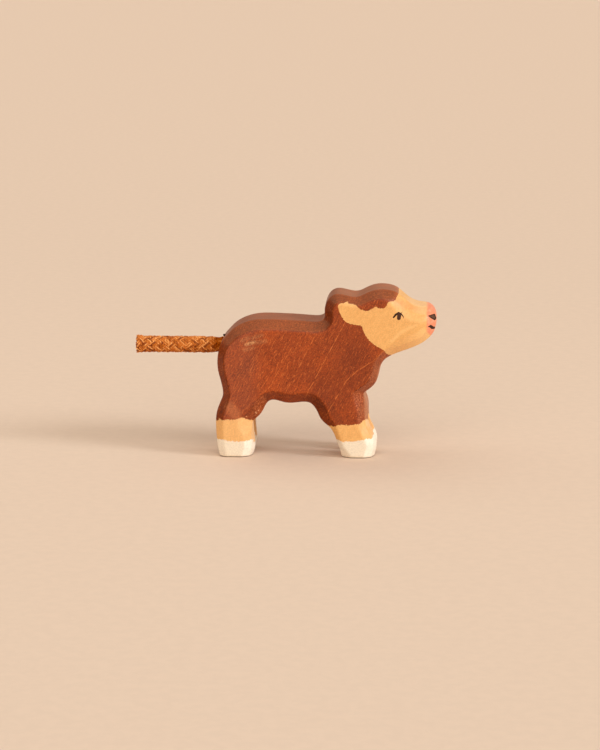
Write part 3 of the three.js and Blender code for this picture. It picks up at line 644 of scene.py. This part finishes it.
# stain and paint; places and widths are millimetres of X and Z
finish = {
    "tones": {
        "stain": "a44515",
        "stainDeep": "6a2608",
        "stainWarm": "c8642a",
        "pale": "d67032",  # lines along the grain
        "bare": "d8986a",  # wood that shows through a scratch; also painted sheen on faces turned forward and upward
        "haze": "41524e",  # dulls the side of the rump
        # a paler patch low on the hind leg: rubbed wood, with painted light on a carved facet there
        "rubbedAndLit": "cc7c4c",
        "scuff": "f2b678",
        "tan": "ecb067",
        "tanDeep": "e6a860",
        # paler tan: painted light on faces turned down, up and forward, and on the hind legs' fronts
        "tanPaintedLight": "efbd84",
        # also the painted light under the chin
        "tanBright": "f8c07a",
        "noseBevelShade": "fae4ee",  # painted shade: dims the bevel along the nose, which faces up into more light, and tints it pinker
        "hoof": "eedcc0",
        # painted light: paler white on the hoofs' forward and rearward facets
        "hoofLitFacets": "f8e8d0",
        # painted shadow where the hoofs meet the floor
        "sole": "5a3a22",
        "pink": "f38d64",
        "pinkPale": "fab08a",
        "dark": "3a2216",
        "nostril": "5c4032",
        "pupil": "4a2e22",
    },
    "grainLean": 62.0,  # degrees from level, up towards the head
    "grainRoughness": 0.55,
    "grainPatterns": {  # repeats in a millimetre along the grain, through the plank and across it; detail
        "cloud": ((0.06, 0.1, 0.12), 3.0),
        "fleck": ((0.5, 2.0, 3.0), 3.0),
        "thread": ((0.07, 0.4, 2.4), 2.0),
        "dash": ((0.35, 1.5, 3.2), 1.0),
        "brush": ((0.5, 0.8, 1.0), 3.0),
    },
    "evenPatterns": {  # repeats in a millimetre, detail and roughness
        "speck": (2.1, 4.0, 0.7),
        "ragged": (1.7, 5.0, 0.7),
        "bristle": (2.8, 1.0, 0.5),
        "smear": (0.8, 2.0, 0.5),
        "pore": (4.2, 2.0, 0.5),
        "wobble": (3.1, 2.0, 0.5),
    },
    "evenLines": {  # half width, then lines from point to point
        "grainLine": (0.09, [[(9.1, 52.8), (-7.3, 21.0)],
                             [(20.2, 38.2), (16.5, 34.6), (10.9, 31.0), (7.25, 27.6), (0.2, 15.3)]]),
        "faintLine": (0.08, [[(-3.6, 43.4), (-13.2, 24.4)], [(-8.4, 43.3), (-16.7, 25.0)],
                             [(-11.9, 38.8), (-19.8, 24.6)], [(-19.3, 45.8), (-26.8, 29.0)]]),
        "chip": (0.16, [[(-23.5, 16.4), (-23.4, 16.4)], [(-24.4, 15.8), (-24.3, 15.8)],
                        [(-24.2, 15.4), (-24.1, 15.4)], [(-27.6, 14.4), (-27.5, 14.4)]]),
    },
    "brushLines": {  # lines of points, each with its own half width
        "shoulder": [[((3.0, 24.0), 3.0), ((11.0, 33.0), 3.0)]],
        # a paler patch low on the hind leg: rubbed wood, with painted light on a carved facet there
        "rubbedAndLit": [[((-33.4, 18.0), 1.4), ((-31.2, 15.2), 1.6)]],
        "scuff": [[((-27.6, 40.0), 0.25), ((-25.9, 40.6), 0.45), ((-24.6, 41.0), 0.25)]],
        "faintScuff": [[((-25.2, 42.3), 0.25), ((-22.0, 43.4), 0.25)],
                       [((-24.0, 40.8), 0.4), ((-20.8, 41.3), 0.4)],
                       [((-28.9, 41.3), 0.3), ((-26.8, 42.4), 0.3)],
                       [((-28.1, 38.2), 0.3), ((-25.1, 38.9), 0.25)]],
        "scratch": [[((15.4, 57.2), 0.05), ((19.5, 58.3), 0.05)],
                    [((20.3, 58.2), 0.05), ((23.2, 57.5), 0.08)],
                    [((18.8, 57.2), 0.05), ((21.6, 57.1), 0.05)]],
        # painted shade on carved facets that turn away from the light
        "paintedShadeCut": [[((-20.6, 21.3), 1.2), ((-23.3, 18.3), 1.8), ((-25.6, 14.4), 2.0)],
                      [((1.4, 19.0), 0.6), ((4.6, 13.0), 1.4)]],
        "stroke": [[((22.9, 41.7), 0.2), ((26.2, 44.8), 0.3), ((28.6, 46.2), 0.3), ((31.4, 47.3), 0.2)]],
        "bridge": [[((24.8, 55.2), 0.4), ((26.9, 54.1), 0.6), ((30.9, 52.5), 0.6), ((34.4, 52.5), 0.5)]],
    },
    "marks": {  # tone, then points with half widths
        "nostril": ("dark", [((35.65, 50.2), 0.16), ((37.5, 50.25), 0.22), ((37.95, 48.9), 0.32),
                             ((37.75, 48.55), 0.34), ((36.6, 49.4), 0.22), ((35.65, 50.2), 0.16)]),
        "nostrilInside": ("nostril", [((36.5, 49.9), 0.2), ((37.2, 49.75), 0.36), ((37.5, 49.2), 0.36)]),
        "lid": ("dark", [((23.5, 50.0), 0.28), ((24.2, 50.9), 0.36), ((25.2, 51.5), 0.4),
                         ((26.15, 51.1), 0.25), ((26.8, 50.3), 0.13), ((27.0, 49.75), 0.06)]),
        "lash": ("dark", [((26.0, 51.4), 0.1), ((26.5, 51.8), 0.05)]),
        "pupil": ("pupil", [((25.42, 50.75), 0.7), ((25.3, 49.72), 0.64)]),
        "mouth": ("dark", [((35.6, 46.5), 0.2), ((36.25, 46.5), 0.44), ((36.9, 45.7), 0.5),
                           ((37.5, 45.5), 0.4)]),
    },
    "markWobble": 0.1,
    "markEdge": (-0.06, 0.08, 1.0, 0.0),
    "jag": 0.5,  # raggedness of the paint's edges, in millimetres
    "paintBlur": 0.05,  # of its edges
    "muzzleBlur": 0.5,
    # what a mask reads, where it starts and ends on that, and its strength at both, 0 and 1 if not given
    "masks": {
        "clouds": ("cloud", 0.4, 0.62, 0.34, 0.0),
        "darkShoulder": ("shoulder", 0.0, 9.0, 0.4, 0.0),
        "darkFlecks": ("fleck", 0.46, 0.3, 0.0, 0.75),
        "warmFlecks": ("fleck", 0.54, 0.7, 0.0, 0.75),
        "threads": ("thread", 0.66, 0.74, 0.0, 0.5),
        "dashes": ("dash", 0.62, 0.7, 0.0, 0.6),
        "dashesBehind": ("X", 6.0, -6.0, 0.25, 1.0),
        "mottling": ("speck", 0.3, 0.7, 0.63, 1.37),
        "lines": ("grainLine", -0.05, 0.14, 1.0, 0.0),
        "lineBreaks": ("fleck", 0.38, 0.62),
        "faintLines": ("faintLine", -0.05, 0.18, 0.6, 0.0),
        "faintBreaks": ("fleck", 0.44, 0.6),
        "rump": ("X", -20.0, -28.0, 0.0, 0.14),
        "sides": ("sideFace", 0.8, 0.95),
        "rubbedAndLit": ("rubbedAndLit", -0.8, 1.4, 0.42, 0.0),
        "rubbedSpecks": ("speck", 0.25, 0.6, 0.4, 1.0),
        "scuffs": ("scuff", -0.3, 0.7, 0.5, 0.0),
        "faintScuffs": ("faintScuff", -0.3, 0.9, 0.16, 0.0),
        "scuffSpecks": ("speck", 0.3, 0.6),
        # cut edges soak up more stain, but forward bevels are kept light, painted light where they face the
        # lamp; the front half is darker too
        "cutEdges": ("sideFace", 0.74, 0.97, 0.75, 1.0),
        "frontBevels": ("frontFace", 0.2, 0.5),
        "frontHalf": ("X", -28.0, 14.0, 1.0, 0.9),
        "rearEdges": ("frontFace", -0.6, 0.0, 0.8, 1.0),
        "upperFaces": ("topFace", 0.3, 0.6),
        "behindNeck": ("X", 10.0, 0.0),
        "pooledFrom": ("sideFace", 0.84, 0.93),
        "pooledTo": ("sideFace", 0.99, 0.95),
        "pooledBehind": ("frontFace", 0.02, 0.15, 1.0, 0.0),
        # painted shade: the front of the thigh and the back of the foreleg, turned away from the light
        "paintedShadeCuts": ("paintedShadeCut", -0.5, 0.9, 0.78, 1.0),
        # painted highlight: a redder line along the upper edges, where the lands meet their bevels
        "edgeHighlightFrom": ("sideFace", 0.12, 0.28),
        "edgeHighlightTo": ("sideFace", 0.55, 0.4),
        "edgeHighlightAbove": ("topFace", 0.2, 0.5, 0.0, 0.28),
        # wear, and painted sheen on faces turned forward and upward
        "edges": ("sideFace", 0.9, 0.7),
        "dustSpecks": ("speck", 0.62, 0.7, 0.0, 0.35),
        "paintedFrontSheen": ("frontFace", 0.7, 0.95, 0.0, 0.4),
        "frontSheenSpecks": ("speck", 0.35, 0.6, 0.6, 1.3),
        "paintedBevelSheen": ("frontFace", 0.25, 0.5, 0.0, 0.22),
        "bevelSpecks": ("speck", 0.45, 0.62),
        "paintedTopSheen": ("topFace", 0.3, 0.6, 0.0, 0.11),
        "sawnEdge": ("sideFace", 0.35, 0.15),
        "poll": ("X", 0.0, 8.0, 1.0, 1.9),
        "scratches": ("scratch", 0.0, 0.2, 0.3, 0.0),
        "scratchSpecks": ("speck", 0.5, 0.62),
        "chips": ("chip", -0.05, 0.12, 0.9, 0.0),
        # paint
        "teeth": ("Z", 28.0, 20.0, 0.3, 1.0),  # smaller on the face than on the legs
        "brushed": ("brush", 0.35, 0.65),
        "bridge": ("bridge", -0.4, 1.2, 0.7, 0.0),
        "bridgeSides": ("topFace", 0.92, 0.8),
        "strokes": ("stroke", -0.2, 0.6, 0.6, 0.0),
        # painted light: paler tan on faces turned down, up and forward, and on the fronts of the hind legs
        "paintedLightBelow": ("topFace", -0.3, -0.6, 0.0, 0.25),
        "paintedLightAbove": ("topFace", 0.7, 0.9, 0.0, 0.8),
        "paintedLightHindLegs": ("X", -15.0, -22.0, 0.0, 0.3),
        "paintedLightFront": ("frontFace", 0.75, 0.9),
        # painted light: brighter tan under the chin, which lies in shade
        "chin": ("X", 24.0, 33.0),
        "paintedLightUnderChin": ("topFace", -0.1, -0.4),
        "rearBevels": ("frontFace", -0.2, -0.5, 0.0, 0.7),
        # painted shadow: the hoofs darken towards the floor they stand on
        "soles": ("Z", 0.1, 0.5, 0.8, 0.0),
        "smears": ("smear", 0.5, 0.66, 0.0, 0.5),
        "paintMottling": ("speck", 0.3, 0.7, 0.88, 1.09),
        "pores": ("pore", 0.6, 0.7, 1.0, 0.84),
        "cheeks": ("depth", 3.3, 3.9),  # marks keep away from the middle
        # a waxy sheen on the sides and the front, dull towards the back and on top
        "roughness": ("speck", 0.3, 0.7, 0.36, 0.46),
        "sheen": ("frontFace", -0.5, 0.3, 0.12, 0.3),
        "dullTop": ("topFace", 0.5, 0.9, 1.0, 0.4),
    },
    "backStain": 0.88,
    "pooled": 0.74,  # stain gathers along the edges of the side
    "paintRoughness": 0.06,
    "paintSheen": 0.12,
    "markSheen": 0.2,
    "paintHeight": 0.8,
    "bump": (0.35, 0.05),
}


def strokeGroup():
    # distance to a brush stroke from one point to another, less its half width, in millimetres
    tree = bpy.data.node_groups.new("brushStroke", "ShaderNodeTree")
    for label, kind in (("Place", "Vector"), ("Start", "Vector"), ("End", "Vector"),
                        ("Start Width", "Float"), ("End Width", "Float")):
        tree.interface.new_socket(name=label, in_out="INPUT", socket_type="NodeSocket" + kind)
    tree.interface.new_socket(name="Distance", in_out="OUTPUT", socket_type="NodeSocketFloat")
    given = addNode(tree, "NodeGroupInput").outputs
    reach = vectorCalc(tree, "SUBTRACT", given["Place"], given["Start"])
    side = vectorCalc(tree, "SUBTRACT", given["End"], given["Start"])
    along = calc(tree, "DIVIDE", vectorCalc(tree, "DOT_PRODUCT", reach, side),
                 vectorCalc(tree, "DOT_PRODUCT", side, side), clamp=True)
    gap = vectorCalc(tree, "LENGTH", vectorCalc(tree, "SUBTRACT", reach, scaled(tree, side, along)))
    taper = times(tree, along, minus(tree, given["End Width"], given["Start Width"]))
    width = plus(tree, given["Start Width"], taper)
    output = addNode(tree, "NodeGroupOutput")
    tree.links.new(minus(tree, gap, width), output.inputs["Distance"])
    return tree


def brushDistance(tree, group, place, lines):
    # the distance to the nearest of some painted lines, each through beads of (point, half width)
    found = []
    for beads in lines:
        for (start, startWidth), (end, endWidth) in zip(beads, beads[1:]):
            sockets = {"Place": place, "Start": (start[0], 0, start[1]), "End": (end[0], 0, end[1]),
                       "Start Width": startWidth, "End Width": endWidth}
            stroke = addNode(tree, "ShaderNodeGroup", sockets, node_tree=group)
            found.append(stroke.outputs["Distance"])
    return lowest(tree, *found)


def woodMaps(tree, look):
    # what the masks read: places in millimetres, the ways the wood faces, patterns and brush lines
    inMm = vectorCalc(tree, "MULTIPLY", objectPlace(tree), (1 / mm, 1 / mm, 1 / mm))
    lean = {"Vector": inMm, "Rotation": (0, math.radians(look["grainLean"]), 0)}
    grain = addNode(tree, "ShaderNodeMapping", lean).outputs["Vector"]  # X runs along the grain
    maps = dict(splitVector(tree, inMm).items())
    maps["depth"] = calc(tree, "ABSOLUTE", maps["Y"])
    for name in ("sideFace", "frontFace", "topFace", "faceEdge", "muzzleEdge", "sockEdge", "hoofEdge"):
        maps[name] = attributeValue(tree, name)
    for name, (repeats, detail) in look["grainPatterns"].items():
        stretched = vectorCalc(tree, "MULTIPLY", grain, repeats)
        maps[name] = grainNoise(tree, stretched, 1.0, detail, look["grainRoughness"])
    for name, settings in look["evenPatterns"].items():
        maps[name] = grainNoise(tree, inMm, *settings)
    group = strokeGroup()
    flat = vectorCalc(tree, "MULTIPLY", inMm, (1, 0, 1))
    lines = dict(look["brushLines"])
    for name, (width, paths) in look["evenLines"].items():
        lines[name] = [[(point, width) for point in path] for path in paths]
    for name, (_, beads) in look["marks"].items():
        lines[name + "Mark"] = [beads]
    for name, paths in lines.items():
        maps[name] = brushDistance(tree, group, flat, paths)
    return maps


def stainColour(tree, tones, masks):
    # clouds, flecks and dashes along the grain, fine mottling, pale lines, a hazy rump and scuffs
    stain = tones["stain"]
    for mask, tone in (("clouds", "stainDeep"), ("darkShoulder", "stainDeep"), ("darkFlecks", "stainDeep"),
                       ("warmFlecks", "stainWarm"), ("threads", "stainWarm")):
        stain = mixColour(tree, masks[mask], stain, tones[tone])
    dashes = times(tree, masks["dashes"], masks["dashesBehind"])
    stain = mixColour(tree, dashes, stain, tones["stainWarm"])
    stain = scaled(tree, stain, masks["mottling"])
    lines = highest(tree, times(tree, masks["lines"], masks["lineBreaks"]),
                    times(tree, masks["faintLines"], masks["faintBreaks"]))
    stain = mixColour(tree, lines, stain, tones["pale"])
    stain = mixColour(tree, times(tree, masks["rump"], masks["sides"]), stain, tones["haze"])
    # a paler patch on the hind leg: rubbed wood, with painted light on a carved facet
    stain = mixColour(tree, times(tree, masks["rubbedAndLit"], masks["rubbedSpecks"]), stain, tones["rubbedAndLit"])
    scuffs = times(tree, highest(tree, masks["scuffs"], masks["faintScuffs"]), masks["scuffSpecks"])
    return mixColour(tree, scuffs, stain, tones["scuff"])


def soakAndPaintedShade(tree, look, masks):
    # how much darker the stain is where the wood took up more of it; forward bevels keep painted light, and
    # two carved facets get painted shade
    back = times(tree, masks["upperFaces"], masks["behindNeck"])
    pooled = times(tree, masks["pooledFrom"], masks["pooledTo"], masks["pooledBehind"])
    return times(tree, highest(tree, masks["cutEdges"], masks["frontBevels"]),
                 masks["frontHalf"], masks["rearEdges"],
                 fade(tree, back, 0.0, 1.0, 1.0, look["backStain"]),
                 fade(tree, pooled, 0.0, 1.0, 1.0, look["pooled"]), masks["paintedShadeCuts"])


def bareWoodAndPaintedSheen(tree, masks):
    # dust along the edges, scratches and chips, and painted sheen: paler faces turned forward, flecked with
    # dust, and a paler top, more of it on the poll
    dust = times(tree, masks["edges"], masks["dustSpecks"])
    frontSheen = times(tree, masks["paintedFrontSheen"], masks["frontSheenSpecks"])
    bevels = times(tree, masks["paintedBevelSheen"], masks["bevelSpecks"])
    poll = highest(tree, times(tree, masks["sawnEdge"], masks["poll"]), 1.0)
    paintedTopSheen = times(tree, masks["paintedTopSheen"], poll)
    scratches = times(tree, masks["scratches"], masks["scratchSpecks"])
    return highest(tree, dust, paintedTopSheen, frontSheen, bevels, scratches, masks["chips"])


def paintPatches(tree, look, maps, masks):
    # where each paint covers the wood, out to a ragged brush edge
    ragged = times(tree, minus(tree, maps["ragged"], 0.5), 2 * look["jag"])
    teeth = times(tree, minus(tree, maps["bristle"], 0.5), masks["teeth"])
    jag = plus(tree, ragged, teeth)

    def patch(edge, blur=look["paintBlur"]):
        return fade(tree, plus(tree, maps[edge], jag), -blur, blur)

    return {
        "tan": highest(tree, patch("faceEdge"), patch("sockEdge")),
        "hoof": patch("hoofEdge"),
        "pink": patch("muzzleEdge", look["muzzleBlur"]),
    }


def paintColour(tree, tones, masks, patches):
    tan = mixColour(tree, masks["brushed"], tones["tanDeep"], tones["tan"])
    # painted shade on the nose bevel, which faces up into more light
    bridge = times(tree, masks["bridge"], masks["bridgeSides"])
    tan = mixColour(tree, bridge, tan, tones["noseBevelShade"], "MULTIPLY")
    tan = mixColour(tree, masks["strokes"], tan, tones["tanBright"])
    # painted light: paler tan on faces turned down, up and forward, and on the hind legs' fronts
    turned = highest(tree, masks["paintedLightBelow"], masks["paintedLightAbove"], masks["paintedLightHindLegs"], masks["paintedLightFront"])
    tan = mixColour(tree, turned, tan, tones["tanPaintedLight"])
    # painted light under the chin, which lies in shade
    tan = mixColour(tree, times(tree, masks["chin"], masks["paintedLightUnderChin"]), tan, tones["tanBright"])
    # painted light: paler white on the hoofs' forward and rearward facets
    hoofFacetLight = highest(tree, masks["frontBevels"], masks["rearBevels"])
    hoof = mixColour(tree, hoofFacetLight, tones["hoof"], tones["hoofLitFacets"])
    # painted shadow along the bottom of the hoofs, where they meet the floor
    hoof = mixColour(tree, masks["soles"], hoof, tones["sole"])
    pink = mixColour(tree, masks["smears"], tones["pink"], tones["pinkPale"])
    paint = mixColour(tree, patches["hoof"], tan, hoof)
    paint = mixColour(tree, patches["pink"], paint, pink)
    return scaled(tree, scaled(tree, paint, masks["paintMottling"]), masks["pores"])


def drawMarks(tree, look, tones, maps, masks, skin):
    # eye, nostril and mouth, drawn with a fine brush on both cheeks
    wobble = times(tree, minus(tree, maps["wobble"], 0.5), look["markWobble"])
    marked = 0.0
    for name, (tone, _) in look["marks"].items():
        edge = plus(tree, maps[name + "Mark"], wobble)
        share = times(tree, fade(tree, edge, *look["markEdge"]), masks["cheeks"])
        skin = mixColour(tree, share, skin, tones[tone])
        marked = highest(tree, marked, share)
    return skin, marked


def woodMaterial(look):
    material, tree = newMaterial("paintedWood")
    tones = {name: colour(code) for name, code in look["tones"].items()}
    maps = woodMaps(tree, look)
    masks = {name: fade(tree, maps[read], *ends) for name, (read, *ends) in look["masks"].items()}
    stain = scaled(tree, stainColour(tree, tones, masks), soakAndPaintedShade(tree, look, masks))
    # painted highlight: unsoaked stain along the edges of the upper lands
    rim = times(tree, masks["edgeHighlightFrom"], masks["edgeHighlightTo"], masks["edgeHighlightAbove"])
    stain = mixColour(tree, rim, stain, tones["stain"])
    stain = mixColour(tree, bareWoodAndPaintedSheen(tree, masks), stain, tones["bare"])
    patches = paintPatches(tree, look, maps, masks)
    covered = highest(tree, *patches.values())
    skin = mixColour(tree, covered, stain, paintColour(tree, tones, masks, patches))
    skin, marked = drawMarks(tree, look, tones, maps, masks, skin)
    rough = plus(tree, masks["roughness"], times(tree, covered, look["paintRoughness"]))
    sheen = plus(tree, masks["sheen"], times(tree, covered, look["paintSheen"]))
    sheen = times(tree, sheen, fade(tree, marked, 0.0, 1.0, 1.0, look["markSheen"]), masks["dullTop"])
    height = plus(tree, times(tree, maps["fleck"], 0.5), times(tree, maps["speck"], 0.5))
    height = times(tree, height, fade(tree, covered, 0.0, 1.0, 1.0, 0.5))  # paint fills half of the grain
    height = plus(tree, height, times(tree, covered, look["paintHeight"]))
    finishMaterial(tree, skin, rough, sheen, height, look["bump"])
    return material


def makeWood(look, finishLook):
    mesh = softWoodMesh(look)
    roughenWood(mesh, look)
    for name, values in paintEdges(pointsOf(mesh)[:, [0, 2]] / mm, look).items():
        addValues(mesh, name, values)
    normals = normalsOf(mesh)
    addValues(mesh, "sideFace", np.abs(normals[:, 1]))
    addValues(mesh, "frontFace", normals[:, 0])
    addValues(mesh, "topFace", normals[:, 2])
    mesh.shade_smooth()
    body = newPiece("woodBody", mesh)
    body.data.materials.append(woodMaterial(finishLook))
    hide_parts("wood_body")
    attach(body, "calf")
    print("wood shaped:", len(mesh.polygons), "faces")


makeWood(wood, finish)


# glue: a dark bead squeezed out above the tail, and a plug behind the cord inside the hole
glue = {
    "bead": "3a1c10",
    "plug": "6a4022",
    "deep": 0.55,  # its dark clouds, as a share of its colour
    "cloudScale": 900.0,
    "bump": (0.3, 0.05),
    "roughness": 0.6,
    "sheen": 0.08,
    "lump": 0.16,
    "lumpScale": 2.1,
    "shrink": 0.4,  # of the whole bead, in lumps
    "size": 0.8,  # of the bead that the frame holds
    "sag": 0.5,
    "press": 0.55,  # against the rump
}


def glueMaterial(name, code, look):
    material, tree = newMaterial(name)
    cloud = grainNoise(tree, objectPlace(tree), look["cloudScale"], 3.0)
    tint = mixColour(tree, fade(tree, cloud, 0.35, 0.65), colour(code, look["deep"]), colour(code))
    finishMaterial(tree, tint, look["roughness"], look["sheen"], cloud, look["bump"])
    return material


def makeGlue(look):
    # the bead sags onto the cord and against the rump
    low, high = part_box("glue_bead")
    middle = (low + high) / 2 + Vector((look["press"] * mm, 0.0, -look["sag"] * mm))
    half = (high - low) / 2 * look["size"]
    work = bmesh.new()
    bmesh.ops.create_icosphere(work, subdivisions=4, radius=1.0)
    for point in work.verts:
        lump = 1 - look["lump"] * (noise.noise(point.co * look["lumpScale"]) + look["shrink"])
        point.co = middle + Vector(c * h for c, h in zip(point.co * lump, half))
    mesh = bpy.data.meshes.new("glueBead")
    work.to_mesh(mesh)
    work.free()
    mesh.shade_smooth()
    bead = newPiece("glueBead", mesh)
    mesh.materials.append(glueMaterial("darkGlue", look["bead"], look))
    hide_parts("glue_bead")
    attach(bead, "calf")
    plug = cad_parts["glue_plug"]
    plug.data.materials.clear()
    plug.data.materials.append(glueMaterial("plugGlue", look["plug"], look))
    print("glue set")


makeGlue(glue)


# floor and light: a pale paper ground, a lamp from the right, soft ones from the front and from above
studio = {
    "paper": "e6cbb2",
    "paperDim": 0.97,  # its faint flecks
    "fleckScale": 260.0,
    "farShade": 0.965,  # the paper dims a little behind the calf
    "farReach": 0.5,  # in metres
    "roughness": 0.95,
    "sheen": 0.1,
    "halfWidth": 6.0,
    "lamps": [
        {"from": (0.84, -0.34, 0.43), "strength": 1.65, "spread": 18.0, "tint": (0.92, 1.0, 1.08)},
        {"from": (0.12, -0.87, 0.46), "strength": 1.78, "spread": 80.0, "tint": (1.03, 1.0, 0.96)},
        {"from": (-0.35, 0.35, 0.86), "strength": 1.0, "spread": 70.0, "tint": (1.04, 1.0, 0.95)},
    ],
    "sky": (1.0, 0.93, 0.86, 1.0),
    "skyStrength": 0.27,
}


def paperMaterial(look):
    material, tree = newMaterial("paper")
    place = objectPlace(tree)
    fleck = grainNoise(tree, place, look["fleckScale"], 4.0, 0.6)
    dim = colour(look["paper"], look["paperDim"])
    tint = mixColour(tree, fade(tree, fleck, 0.3, 0.7), dim, colour(look["paper"]))
    away = splitVector(tree, place)["Y"]
    tint = scaled(tree, tint, fade(tree, away, 0.0, look["farReach"], 1.0, look["farShade"]))
    finishMaterial(tree, tint, look["roughness"], look["sheen"])
    return material


def addLamp(number, look):
    lamp = bpy.data.lights.new("softLamp%d" % number, "SUN")
    lamp.energy = look["strength"]
    lamp.color = look["tint"]
    lamp.angle = math.radians(look["spread"])
    holder = bpy.data.objects.new(lamp.name, lamp)
    holder.rotation_euler = Vector(look["from"]).to_track_quat("Z", "Y").to_euler()
    scene.collection.objects.link(holder)


def addSky(look):
    # soft light all round; whatever looks at the sky sees plain paper
    world = bpy.data.worlds.new("studioSky")
    world.use_nodes = True
    scene.world = world
    tree = world.node_tree
    tree.nodes.clear()
    light = addNode(tree, "ShaderNodeBackground", {"Color": look["sky"], "Strength": look["skyStrength"]})
    backdrop = addNode(tree, "ShaderNodeBackground", {"Color": colour(look["paper"]), "Strength": 1.0})
    ray = addNode(tree, "ShaderNodeLightPath").outputs
    seen = calc(tree, "ADD", ray["Is Camera Ray"], ray["Is Glossy Ray"])
    seen = calc(tree, "ADD", seen, ray["Is Transmission Ray"], clamp=True)
    sockets = {0: seen, 1: light.outputs["Background"], 2: backdrop.outputs["Background"]}
    pick = addNode(tree, "ShaderNodeMixShader", sockets)
    output = addNode(tree, "ShaderNodeOutputWorld")
    tree.links.new(pick.outputs["Shader"], output.inputs["Surface"])


def makeStudio(look):
    half = look["halfWidth"]
    corners = [(-half, -half, 0), (half, -half, 0), (half, half, 0), (-half, half, 0)]
    mesh = bpy.data.meshes.new("paperGround")
    mesh.from_pydata(corners, [], [(0, 1, 2, 3)])
    ground = newPiece("paperGround", mesh)
    mesh.materials.append(paperMaterial(look))
    for number, lamp in enumerate(look["lamps"]):
        addLamp(number, lamp)
    addSky(look)
    print("studio lit")


makeStudio(studio)
